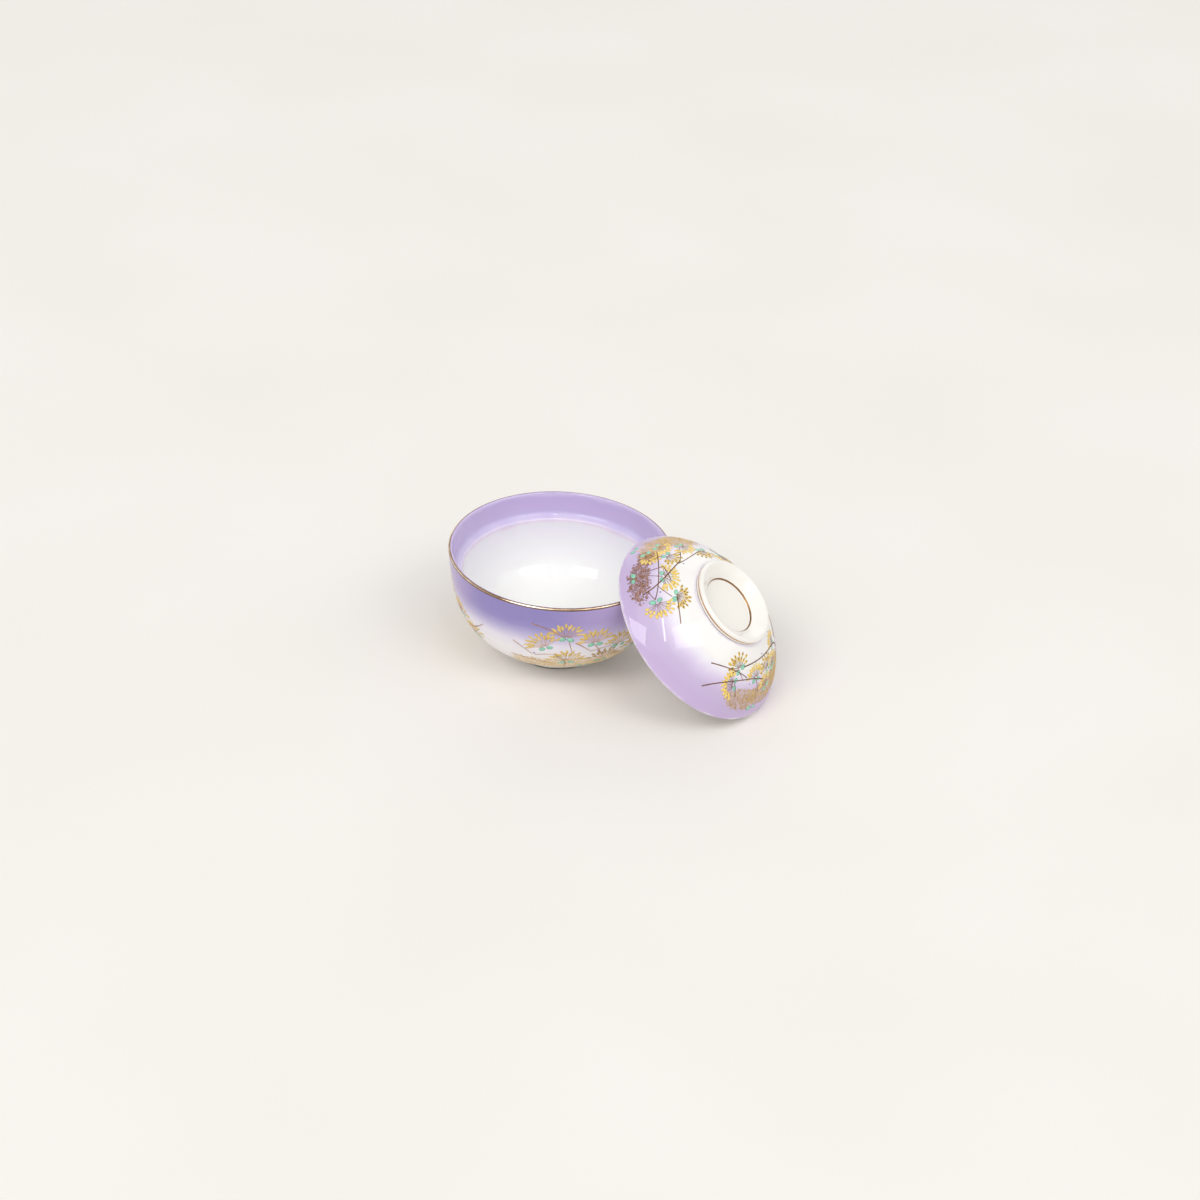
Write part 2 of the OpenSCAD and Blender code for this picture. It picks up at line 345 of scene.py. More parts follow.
def sprayedPorcelain(name, stops, low, high, passes=None):
    g = sprayedGlaze
    finish, tree, shader = newFinish(name, g["roughness"], g["ior"])
    where = addNode(tree, "ShaderNodeTexCoord").outputs["Object"]
    drop = addNode(tree, ("ShaderNodeAttribute", {"attribute_name": "drop"})).outputs["Fac"]
    cloud, grain, waves = [addNode(tree, noise, {
        "Vector": where, "Scale": 1 / (g[size] * mm), "Detail": detail})
        for size, detail in (("cloud", 2.0), ("grain", 3.0), ("waves", 1.0))]
    drift = addNode(tree, multiplyAdd, [cloud, g["cloudDrift"] * 2, drop])
    fine = addNode(tree, multiplyAdd, [grain, g["grainDrift"] * 2, drift])
    place = addNode(tree, mapRange, {
        "Value": fine, "From Min": low + g["cloudDrift"] + g["grainDrift"],
        "From Max": high + g["cloudDrift"] + g["grainDrift"]})
    ramp = addNode(tree, colourRamp, [place])
    fillRamp(ramp, stops, low, high)
    colour = ramp.outputs["Color"]
    if passes:
        colour = overlapping(tree, where, drop, colour, passes)
    tree.links.new(colour, shader.inputs["Base Color"])
    bump = addNode(tree, "ShaderNodeBump", {
        "Height": waves, "Distance": g["waveHeight"] * mm, "Strength": 1.0})
    tree.links.new(bump.outputs["Normal"], shader.inputs["Normal"])
    return finish


# Distances in millimetres from the top of the lip: outside is plus, inside is minus. The paler stop
# 1.2 mm inside is a painted highlight along the lip's inner curve.
bowlGlaze = sprayedPorcelain("lilac airbrushed porcelain", [
    (-70.0, "#f7f9f2"), (-40.0, "#f5f5f4"), (-24.0, "#f3f0f7"), (-19.6, "#f0edf5"),
    (-18.2, "#efe0f1"), (-17.2, "#e6dbef"), (-15.0, "#d6ccec"), (-12.6, "#cabde5"),
    (-9.0, "#c9b6e0"), (-3.2, "#c5b2e0"), (-1.2, "#d5c6ea"), (0.4, "#bfabdb"),
    (2.0, "#b29ed2"), (10.5, "#b19ed2"), (15.0, "#baa9d9"), (19.0, "#c9bbe1"),
    (23.0, "#ddd3ec"), (27.0, "#ebe6f3"), (34.0, "#f4f1f5"), (75.0, "#f7f5f2")], -70.0, 90.0,
    {"count": 3, "azimuth": -112, "width": (-0.9, 0.7), "starts": (-0.5, 1.5), "ends": (26.0, 14.0),
     "tint": "#d3dbec"})
# The same on the lid: distance from its edge, up over the dome. The grey-lilac stop at 40.6 mm is painted
# shade in the crease where the dome meets the ring.
lidGlaze = sprayedPorcelain("lilac airbrushed lid", [
    (-60.0, "#f8f6f3"), (-3.0, "#f7f3f2"), (-1.6, "#f4eef4"), (-0.6, "#efe6f0"),
    (0.1, "#d8c8e8"), (0.7, "#cab5dc"), (6.0, "#c5b1d7"), (13.6, "#c9b7d9"), (18.5, "#d8c9e6"),
    (24.5, "#efeaf3"), (29.0, "#f5f3ef"), (39.6, "#f7f4f3"), (40.6, "#e2deee"),
    (41.6, "#f5f2ec"), (90.0, "#f8f5ec")], -60.0, 90.0)

# Bare fired clay: the ring that the bowl stands on is wiped clean of glaze, so it is chalky. Its dark
# grey-brown tones are painted contact shade along the foot's edge. Its grain is in millimetres.
clay = {"roughness": 0.75, "ior": 1.5, "grain": 0.4, "grainHeight": 0.05,
        "tones": [(0.3, "#8f8577"), (0.7, "#aaa08f")]}
bareClay, clayTree, clayShader = newFinish("bare fired porcelain clay", clay["roughness"], clay["ior"])
clayGrain = patchyColour(clayTree, clayShader, clay["grain"], 4.0, clay["tones"])[1]
clayBump = addNode(clayTree, "ShaderNodeBump", {"Height": clayGrain, "Distance": clay["grainHeight"] * mm})
clayTree.links.new(clayBump.outputs["Normal"], clayShader.inputs["Normal"])


# Fired gold: brushed on and burnt in at a low heat. It is a thin metal film, so the eye sees
# slow streaks along the brush and small rubbed places where it turns pale. Streaks and rubbed are
# spans of the noise, and gloss is how the roughness is multiplied over the second of them.
goldFilm = {"streaks": (0.35, 0.65), "rubbed": (0.35, 0.7), "gloss": (0.8, 1.7)}


def firedGold(name, dark, light, roughness, streak, worn):
    finish, tree, shader = newFinish(name, roughness, None, 1.0)
    where = patchyColour(tree, shader, streak, 3.0, zip(goldFilm["streaks"], (dark, light)))[0]
    rubbed = addNode(tree, noise, {"Vector": where, "Scale": 1 / (worn * mm), "Detail": 2.0})
    gloss = addNode(tree, mapRange, {
        "Value": rubbed, "From Min": goldFilm["rubbed"][0], "From Max": goldFilm["rubbed"][1],
        "To Min": roughness * goldFilm["gloss"][0], "To Max": roughness * goldFilm["gloss"][1]})
    tree.links.new(gloss.outputs[0], shader.inputs["Roughness"])
    return finish


# The lines round the lip and the ring: brown at both edges and pale along the middle, which is painted
# reflection and shade of the curved line, and rubbed pale in patches by hands and cloths. More gold is left
# on some.
lineWear = {"patch": 22.0, "grain": 1.2, "patchShift": 1.5, "grainShift": 0.35}


def lineGold(name, stops, left, roughness):
    finish, tree, shader = newFinish(name, roughness, None, 1.0)
    where = addNode(tree, "ShaderNodeTexCoord").outputs["Object"]
    across = addNode(tree, ("ShaderNodeAttribute", {"attribute_name": "across"})).outputs["Fac"]
    # Brown at both edges and pale in the middle: painted reflection and shade across the line
    fromCentre = addNode(tree, subtract, [across, 0.5])
    paintedReflectionAcross = addNode(tree, absolute, [fromCentre])
    wearAndPaintedReflection = addNode(tree, multiplyAdd, [paintedReflectionAcross, 2.0, left])
    for size in ("patch", "grain"):
        wear = addNode(tree, noise, {"Vector": where, "Scale": 1 / (lineWear[size] * mm), "Detail": 2.0})
        centred = addNode(tree, subtract, [wear, 0.5])
        wearAndPaintedReflection = addNode(tree, multiplyAdd, [centred, lineWear[size + "Shift"], wearAndPaintedReflection])
    ramp = addNode(tree, colourRamp, [wearAndPaintedReflection])
    fillRamp(ramp, stops)
    tree.links.new(ramp.outputs["Color"], shader.inputs["Base Color"])
    return finish


# Each has its colours from the palest to the darkest, the gold left on it and its roughness
lipLineGold = lineGold("worn brown gold on the lip", [
    (0.05, "#f0e8de"), (0.22, "#cdb69c"), (0.45, "#9a8168"), (0.9, "#776050")], 0.16, 0.2)
brownLineGold = lineGold("thin brown gold line", [
    (0.05, "#dcc6b0"), (0.3, "#a9825e"), (0.8, "#8a6650")], 0.3, 0.3)
tanLineGold = lineGold("tan gold line", [
    (0.05, "#ecdcc8"), (0.3, "#d8ae7c"), (0.6, "#cda06a"), (0.9, "#b48658")], 0.15, 0.3)
wellLineGold = lineGold("full brown gold line", [
    (0.0, "#b8925c"), (0.5, "#9a7448"), (0.9, "#86603a")], 0.45, 0.35)

stemGold = firedGold("thin brown gold strokes", "#6a4a36", "#91694a", 0.36, 1.5, 4.0)
paleGold = firedGold("pale gold strokes", "#ab7e54", "#ca9d6e", 0.34, 1.5, 4.0)
floretGold = firedGold("gold floret rings", "#c2a262", "#dcc490", 0.36, 2.0, 4.0)
brownGold = firedGold("brown floret rings", "#865f3e", "#a97e54", 0.36, 2.0, 4.0)
thinGold = firedGold("thin pale floret rings", "#dec492", "#efdcb6", 0.4, 2.0, 4.0)


# Overglaze enamel: glassy coloured paste fired on the glaze, a little proud of it. Each dab is
# thicker or thinner than the next, so the tone shifts from dab to dab.
paste = {"roughness": 0.18, "brownRoughness": 0.3, "ior": 1.52, "tones": (0.3, 0.7)}


def enamel(name, dark, light, patch, roughness=paste["roughness"]):
    finish, tree, shader = newFinish(name, roughness, paste["ior"])
    patchyColour(tree, shader, patch, 2.0, zip(paste["tones"], (dark, light)))
    return finish


# The bowl's yellow is the lid's enamel painted darker, as painted shade on the bowl's side
yellowEnamel = {"bowl": enamel("old yellow overglaze enamel", "#d9b559", "#ecd088", 1.6),
                "lid": enamel("yellow overglaze enamel", "#eec75a", "#fbdf88", 1.6)}
leafEnamel = enamel("sea green overglaze enamel", "#7cc4a6", "#9fdcc2", 1.8)
violetEnamel = enamel("violet overglaze enamel", "#8379c4", "#a9a2dc", 1.2)
heartEnamel = enamel("dark brown overglaze dabs", "#74502a", "#9c7236", 1.4, paste["brownRoughness"])
oldGoldEnamel = enamel("old gold overglaze dabs", "#a17c3c", "#c9a252", 1.4, paste["brownRoughness"])
print("finishes made:", len(bpy.data.materials))


# What the trees keep to themselves, in millimetres where it is a length
treeSizes = {
    "turnMerge": 0.002, "bandMerge": 0.0005, "bandRows": 17, "waverScale": 6.0, "edgesApart": 7.0,
    "marksApart": 53.0, "leastBend": 0.001, "strokeSides": 6, "floretSizes": (0.7, 1.25),
}

# Turned pieces: the half section goes round the axis
turnTree, turnIn, turnField = newTree("turned on the wheel", [
    ("Steps around", "Int"), ("Glaze", "Material"), ("Bare clay", "Material"), ("Bare below", "Float")],
    ["drop"])
sectionCount = addNode(turnTree, ("GeometryNodeAttributeDomainSize", {"component": "MESH"}),
                       [turnIn["Geometry"]]).outputs["Point Count"]
around = addNode(turnTree, add, [turnIn["Steps around"], 1.0])
grid = addNode(turnTree, meshGrid, {
    "Size X": 1.0, "Size Y": 1.0, "Vertices X": around, "Vertices Y": sectionCount})
turnPoint = addNode(turnTree, position)
turnPlace = addNode(turnTree, splitXyz, [turnPoint]).outputs
lastRow = addNode(turnTree, subtract, [sectionCount, 1.0])
rowShare = addNode(turnTree, add, [turnPlace["Y"], 0.5])
rowPlace = addNode(turnTree, multiply, [rowShare, lastRow])
row = addNode(turnTree, rounded, [rowPlace])
sectionPoint = addNode(turnTree, ("GeometryNodeSampleIndex", {"data_type": "FLOAT_VECTOR"}),
                       [turnIn["Geometry"], turnPoint, row])
sectionDrop = addNode(turnTree, ("GeometryNodeSampleIndex", {"data_type": "FLOAT"}),
                      [turnIn["Geometry"], turnField["drop"], row])
turn = addNode(turnTree, multiply, [turnPlace["X"], 2 * math.pi])
turnedPoint = addNode(turnTree, turnRound, {"Vector": sectionPoint, "Angle": turn})
isBare = addNode(turnTree, ("FunctionNodeCompare", {"operation": "LESS_THAN"}),
                 [turnPlace["Z"], turnIn["Bare below"]])
closeTree(turnTree, grid, [
    (storeValue, {"Name": "drop", "Value": sectionDrop}),
    (setPosition, {"Position": turnedPoint}),
    (mergeNear, {"Distance": treeSizes["turnMerge"] * mm})],
    {"Material": turnIn["Glaze"]}, {"Selection": isBare, "Material": turnIn["Bare clay"]})


def sectionCarrier(name, section, zeroPoint, sign):
    lengths = lineLengths(section)
    zero = min(range(len(section)), key=lambda i: math.dist(section[i], zeroPoint))
    return lineMesh(name, section, drop=[sign * (length - lengths[zero]) for length in lengths])


# Bare clay, dark as painted contact shade, shows below a height in millimetres, and nowhere on the lid
turning = {"stepsAround": 256, "bareBelow": {"bowl": 0.8, "lid": -1000.0}}
halves = {"bowl": sectionCarrier("bowlLine", bowlSection, (lipCentre[0], bs["height"]), -1),
          "lid": sectionCarrier("lidLine", lidSection, domeEdge, 1)}
bowlPiece, lidPiece = [
    madeWith(turnTree, body + "Porcelain", halves[body], places[body], glaze=glaze, bareClay=bareClay,
             stepsAround=turning["stepsAround"], bareBelow=turning["bareBelow"][body] * mm)
    for body, glaze in (("bowl", bowlGlaze), ("lid", lidGlaze))]
print("turned:", len(bowlPiece.data.polygons), "and", len(lidPiece.data.polygons), "faces")


# A flat drawing laid on a turned face. Its X is the way round, its Y the way up the face and
# its Z the height off it, all measured from the point given by azimuth and along.
layTree, layIn, layField = newTree("laid on the face", [("Face", "Object")], ["azimuth", "along"])
faceLine = addNode(layTree, "GeometryNodeMeshToCurve", [
    addNode(layTree, "GeometryNodeObjectInfo", [layIn["Face"]]).outputs["Geometry"]])
flat = addNode(layTree, splitXyz, [addNode(layTree, position)]).outputs
faceWay = addNode(layTree, add, [layField["along"], flat["Y"]])
facePoint = addNode(layTree, ("GeometryNodeSampleCurve", {"mode": "LENGTH", "use_all_curves": True}), {
    0: faceLine, "Length": faceWay}).outputs
faceAt, faceRise = [addNode(layTree, splitXyz, [facePoint[name]]).outputs
                    for name in ("Position", "Tangent")]
inward = addNode(layTree, multiply, [faceRise["X"], -1.0])
faceOut = addNode(layTree, joinXyz, {"X": faceRise["Z"], "Z": inward})
raised = addNode(layTree, vectorMultiplyAdd, [faceOut, flat["Z"], facePoint["Position"]])
sideTurn = addNode(layTree, divide, [flat["X"], faceAt["X"]])
layTurn = addNode(layTree, add, [sideTurn, layField["azimuth"]])
laidPoint = addNode(layTree, turnRound, {"Vector": raised, "Angle": layTurn})
closeTree(layTree, layIn["Geometry"], [(setPosition, {"Position": laidPoint})])
layOn = ("GeometryNodeGroup", {"node_tree": layTree})

# Points spread as a fan: each centre gives its rays' direction (way), length (reach) and bend (bow)
fanTree, fanIn, fanField = newTree("spread as a fan", [("Seed", "Int")], [
    "facing", "fan", "rays", "span", "sway", "short", "ragged", "arch", "bend", "mark"])
rays = addNode(fanTree, ("GeometryNodeDuplicateElements", {"domain": "POINT"}), {
    0: addNode(fanTree, "GeometryNodeMeshToPoints", [fanIn["Geometry"]]),
    "Amount": fanField["rays"]}).outputs
rayNumber = rays["Duplicate Index"]
rayMiddle = addNode(fanTree, add, [rayNumber, 0.5])
rayShare = addNode(fanTree, divide, [rayMiddle, fanField["rays"]])
centred = addNode(fanTree, subtract, [rayShare, 0.5])
fromMiddle = addNode(fanTree, multiply, [centred, fanField["fan"]])
# Each ray draws by its own number, and the marks stand further apart than the rays of any fan
rayMark = addNode(fanTree, multiplyAdd, [fanField["mark"], treeSizes["marksApart"], rayNumber])
chance = [addNode(fanTree, randomValue, {
    2: -1.0, 3: 1.0, "ID": rayMark,
    "Seed": addNode(fanTree, add, [fanIn["Seed"], float(i)])}).outputs[1] for i in range(2)]
swayed = addNode(fanTree, multiplyAdd, [chance[0], fanField["sway"], fanField["facing"]])
rayWay = addNode(fanTree, add, [fromMiddle, swayed])
rayBow = addNode(fanTree, multiplyAdd, [fromMiddle, fanField["arch"], fanField["bend"]])
oddOne = addNode(fanTree, modulo, [rayNumber, 2.0])
shortening = addNode(fanTree, multiply, [oddOne, fanField["short"]])
raggedShare = addNode(fanTree, multiplyAdd, [chance[1], fanField["ragged"], 1.0])
lengthShare = addNode(fanTree, subtract, [raggedShare, shortening])
rayReach = addNode(fanTree, multiply, [lengthShare, fanField["span"]])
closeTree(fanTree, rays["Geometry"], [
    (storeValue, {"Name": name, "Value": value})
    for name, value in (("way", rayWay), ("reach", rayReach), ("bow", rayBow))])
spreadOut = ("GeometryNodeGroup", {"node_tree": fanTree})

# Brush strokes: every ray of a fan, or a lone stem, is a bowed stroke with a thin end
strokeTree, strokeIn, strokeField = newTree("brush strokes", [
    ("Face", "Object"), ("Seed", "Int"), ("Begins", "Float"), ("Thinning", "Float"), ("Relief", "Float"),
    ("Lift", "Float"), ("Steps", "Int"), ("Gold", "Material")],
    ["way", "reach", "bow", "width", "share"])
strokeFans = addNode(strokeTree, spreadOut, [strokeIn["Geometry"], strokeIn["Seed"]])
unitLine = addNode(strokeTree, "GeometryNodeResampleCurve", {
    0: addNode(strokeTree, "GeometryNodeCurvePrimitiveLine", {
        "Start": addNode(strokeTree, joinXyz, {"Y": strokeIn["Begins"]}),
        "End": (0.0, 1.0, 0.0)}),
    "Count": strokeIn["Steps"]})
unitLines = addNode(strokeTree, "GeometryNodeInstanceOnPoints", {0: strokeFans, "Instance": unitLine})
lines = addNode(strokeTree, realize, [unitLines])
strokePoint = addNode(strokeTree, position)
lineWay = addNode(strokeTree, splitXyz, [strokePoint]).outputs["Y"]
bending = addNode(strokeTree, add, [strokeField["bow"], treeSizes["leastBend"]])
fromHalf = addNode(strokeTree, subtract, [lineWay, 0.5])
headings = [addNode(strokeTree, multiplyAdd, [bending, share, strokeField["way"]])
            for share in (-0.5, fromHalf)]
(firstSine, nowSine), (firstCosine, nowCosine) = [
    [addNode(strokeTree, wave, [heading]) for heading in headings] for wave in (sine, cosine)]
sideStep = addNode(strokeTree, subtract, [firstCosine, nowCosine])
upStep = addNode(strokeTree, subtract, [nowSine, firstSine])
bendRadius = addNode(strokeTree, divide, [strokeField["reach"], bending])
strokePlace = addNode(strokeTree, vectorScale, {
    0: addNode(strokeTree, joinXyz, [sideStep, upStep]), "Scale": bendRadius})
strokeShare = addNode(strokeTree, storeValue, {0: lines, "Name": "share", "Value": lineWay})
bowed = addNode(strokeTree, setPosition, {0: strokeShare, "Position": strokePlace})
thinning = addNode(strokeTree, multiply, [strokeField["share"], strokeIn["Thinning"]])
thinned = addNode(strokeTree, multiplyAdd, [thinning, -1.0, 1.0])
strokeWidth = addNode(strokeTree, multiply, [thinned, strokeField["width"]])
hairs = addNode(strokeTree, "GeometryNodeCurvePrimitiveCircle", {
    "Resolution": treeSizes["strokeSides"], "Radius": 0.5})
tubes = addNode(strokeTree, "GeometryNodeCurveToMesh", {
    0: bowed, 1: hairs, "Scale": strokeWidth, "Fill Caps": True})
pressed = addNode(strokeTree, vectorMultiplyAdd, [
    strokePoint, addNode(strokeTree, joinXyz, [1.0, 1.0, strokeIn["Relief"]]),
    addNode(strokeTree, joinXyz, {"Z": strokeIn["Lift"]})])
closeTree(strokeTree, tubes, [(setPosition, {"Position": pressed}), (layOn, {"Face": strokeIn["Face"]})],
          {"Material": strokeIn["Gold"]})


# Sets a small shape on every point, lays them on the face and ends the tree
def setOut(tree, treeIn, points, turn, least, most, finish):
    size = addNode(tree, randomValue, {2: least, 3: most, "Seed": treeIn["Seed"]}).outputs[1]
    shape = addNode(tree, "GeometryNodeObjectInfo", [treeIn["Shape"]]).outputs["Geometry"]
    shapes = addNode(tree, "GeometryNodeInstanceOnPoints", {
        0: points, "Instance": shape, "Rotation": turn, "Scale": size})
    closeTree(tree, shapes, [(realize, {}), (layOn, {"Face": treeIn["Face"]})], {"Material": finish})


# Dabs: one small shape at the end of every ray
dabTree, dabIn, dabField = newTree("dabs at the ray ends", [
    ("Face", "Object"), ("Seed", "Int"), ("Shape", "Object"), ("Inset", "Float"), ("Lift", "Float"),
    ("Least size", "Float"), ("Most size", "Float"), ("Enamel", "Material")], ["way", "reach", "bow"])
dabFans = addNode(dabTree, spreadOut, [dabIn["Geometry"], dabIn["Seed"]])
dabReach = addNode(dabTree, subtract, [dabField["reach"], dabIn["Inset"]])
dabSide, dabUp = [addNode(dabTree, multiply, [
    addNode(dabTree, wave, [dabField["way"]]), dabReach]) for wave in (sine, cosine)]
dabPlace = addNode(dabTree, joinXyz, [dabSide, dabUp, dabIn["Lift"]])
dabPoints = addNode(dabTree, setPosition, {0: dabFans, "Position": dabPlace})
tipWay = addNode(dabTree, multiplyAdd, [dabField["bow"], 0.5, dabField["way"]])
dabTurn = addNode(dabTree, joinXyz, {"Z": addNode(dabTree, multiply, [tipWay, -1.0])})
setOut(dabTree, dabIn, dabPoints, dabTurn, dabIn["Least size"], dabIn["Most size"], dabIn["Enamel"])

# Floret clouds: tiny rings scattered over an oval patch, thinner towards its border
cloudTree, cloudIn, cloudField = newTree("cloud of florets", [
    ("Face", "Object"), ("Seed", "Int"), ("Shape", "Object"), ("Spacing", "Float"),
    ("Density", "Float"), ("Gold", "Material")], ["fullness"])
scattered = addNode(cloudTree, ("GeometryNodeDistributePointsOnFaces", {"distribute_method": "POISSON"}), {
    0: cloudIn["Geometry"], "Distance Min": cloudIn["Spacing"], "Density Max": cloudIn["Density"],
    "Density Factor": cloudField["fullness"], "Seed": cloudIn["Seed"]})
cloudTurn = addNode(cloudTree, ("FunctionNodeRandomValue", {"data_type": "FLOAT_VECTOR"}), {
    0: (0.0, 0.0, 0.0), 1: (0.0, 0.0, 2 * math.pi), "Seed": cloudIn["Seed"]})
level = addNode(cloudTree, vectorMultiply, [addNode(cloudTree, position), (1.0, 1.0, 0.0)])
broughtDown = addNode(cloudTree, setPosition, {0: scattered, "Position": level})
setOut(cloudTree, cloudIn, broughtDown, cloudTurn, *treeSizes["floretSizes"], cloudIn["Gold"])

# Brushed bands: a gold line run round a turned face while it spins, with a wavering edge
bandTree, bandIn = newTree("line brushed on the wheel", [
    ("Face", "Object"), ("Lower edge", "Float"), ("Upper edge", "Float"), ("Thickness", "Float"),
    ("Waver", "Float"), ("Seed", "Float"), ("Steps around", "Int"), ("Gold", "Material")])[:2]
bandGrid = addNode(bandTree, meshGrid, {
    "Size X": 1.0, "Size Y": 1.0, "Vertices X": bandIn["Steps around"],
    "Vertices Y": treeSizes["bandRows"]})
bandPlace = addNode(bandTree, splitXyz, [addNode(bandTree, position)]).outputs
bandTurn, bandRound = [addNode(bandTree, multiply, [bandPlace[axis], 2 * math.pi]) for axis in ("X", "Y")]
(turnSine, roundSine), (turnCosine, roundCosine) = [
    [addNode(bandTree, wave, [angle]) for angle in (bandTurn, bandRound)]
    for wave in (sine, cosine)]
edges = {}
for name, lift in (("Lower edge", 0.0), ("Upper edge", treeSizes["edgesApart"])):
    seeded = addNode(bandTree, add, [bandIn["Seed"], lift])
    wavering = addNode(bandTree, noise, {
        "Vector": addNode(bandTree, joinXyz, [turnCosine, turnSine, seeded]),
        "Scale": treeSizes["waverScale"], "Detail": 3.0})
    offset = addNode(bandTree, subtract, [wavering, 0.5])
    edges[name] = addNode(bandTree, multiplyAdd, [offset, bandIn["Waver"], bandIn[name]])
acrossShare = addNode(bandTree, multiplyAdd, [roundCosine, 0.5, 0.5])
bandAlong = addNode(bandTree, ("ShaderNodeMix", {"data_type": "FLOAT"}), {
    0: acrossShare, 2: edges["Upper edge"], 3: edges["Lower edge"]})
bandHeight = addNode(bandTree, multiply, [roundSine, bandIn["Thickness"]])
bandFlat = addNode(bandTree, joinXyz, {"Z": bandHeight})
closeTree(bandTree, bandGrid, [
    *[(storeValue, {"Name": name, "Value": value}) for name, value in (
        ("azimuth", bandTurn), ("along", bandAlong), ("across", acrossShare))],
    (setPosition, {"Position": bandFlat}), (layOn, {"Face": bandIn["Face"]}),
    (mergeNear, {"Distance": treeSizes["bandMerge"] * mm})], {"Material": bandIn["Gold"]})
print("trees built:", len(bpy.data.node_groups))


# Face lines that the drawings are laid on. The lip's starts a few points down the belly.
lipOverlap = 6
lipBelow = bellyLine[-lipOverlap:]
lipStart = lineLengths(lipBelow)[-1]
bellyFace = lineMesh("bellyFace", bellyLine)
lipFace = lineMesh("lipFace", lipBelow + lipLine)
domeFace = lineMesh("domeFace", domeLine)
handleFace = lineMesh("handleFace", handleWall)
wellFace = lineMesh("wellFace", [wellTop, wellFoot])

# Gold lines: where each begins and ends along its face, its thickness and its waver, all in mm
bandSteps = 361
goldBands = {
    "lipGold": {"face": lipFace, "line": (lipStart - 0.05, lipStart + 1.9), "thickness": 0.04,
                "waver": 0.12, "seed": 1.0, "gold": lipLineGold,
                "body": "bowl", "replaces": "bowl_lip_gilding"},
    "ringBaseGold": {"face": handleFace, "line": (0.2, 0.62), "thickness": 0.05, "waver": 0.08,
                     "seed": 2.0, "gold": brownLineGold,
                     "body": "lid", "replaces": "lid_base_line"},
    "ringUpperGold": {"face": handleFace, "line": (1.8, 2.7), "thickness": 0.05, "waver": 0.12,
                      "seed": 3.0, "gold": tanLineGold,
                      "body": "lid", "replaces": "lid_upper_line"},
    "wellGold": {"face": wellFace, "line": (0.06, 1.04), "thickness": 0.05, "waver": 0.14, "seed": 4.0,
                 "gold": wellLineGold, "body": "lid", "replaces": "lid_well_line"},
}
for name, band in goldBands.items():
    piece = madeWith(bandTree, name, pointMesh(name + "Carrier", [(0, 0, 0)]), places[band["body"]],
                     face=band["face"], lowerEdge=band["line"][0] * mm, upperEdge=band["line"][1] * mm,
                     thickness=band["thickness"] * mm, waver=band["waver"] * mm, seed=band["seed"],
                     stepsAround=bandSteps, gold=band["gold"])
    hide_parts(band["replaces"])
    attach(piece, band["body"])
print("gold lines:", ", ".join(goldBands))


# Small shapes for the drawings, in millimetres: pointed petals and hearts, an oval leaf, a round dot
# and a ring. A dab's shoulder is a share of its width and of its relief, and it goes a little under.
dabForm = {"shoulder": (0.62, 0.75), "under": 0.03}


def dabShape(name, width, length, point, relief, corners=10):
    rows, faces = [], []
    for share, up in ((1.0, 0.0), dabForm["shoulder"]):
        for i in range(corners):
            turn = 2 * math.pi * i / corners
            side = math.sin(turn)
            rows.append((width / 2 * share * side * abs(side) ** point * mm,
                         length / 2 * share * math.cos(turn) * mm, relief * up * mm))
    top, bottom = len(rows), len(rows) + 1
    rows += [(0, 0, relief * mm), (0, 0, -dabForm["under"] * mm)]
    for i in range(corners):
        j = (i + 1) % corners
        faces += [(j, i, i + corners, j + corners), (j + corners, i + corners, top), (i, j, bottom)]
    return pointMesh(name, rows, faces=faces)


def ringShape(name, radius, line, relief, corners=6):
    rows, faces = [], []
    for i in range(corners):
        turn = 2 * math.pi * i / corners
        for away, up in ((line / 2, 0), (0, relief), (-line / 2, 0)):
            reach = (radius + away) * mm
            rows.append((reach * math.sin(turn), reach * math.cos(turn), up * mm))
    for i in range(corners):
        for k in range(3):
            a, b = i * 3 + k, i * 3 + (k + 1) % 3
            faces.append((b, a, (a + 3) % len(rows), (b + 3) % len(rows)))
    return pointMesh(name, rows, faces=faces)


petalShapes = {"bowl": dabShape("slenderPetal", 1.55, 3.9, 0.35, 0.12),
               "lid": dabShape("broadPetal", 1.65, 2.7, 0.25, 0.12)}
heartShape = dabShape("heartShape", 0.72, 1.6, 0.3, 0.07, corners=8)
leafShape = dabShape("leafShape", 2.2, 3.1, 0.0, 0.11, corners=12)
dotShape = dabShape("dotShape", 0.95, 0.95, 0.0, 0.08, corners=8)
floretShape = ringShape("floretShape", 0.4, 0.32, 0.05)

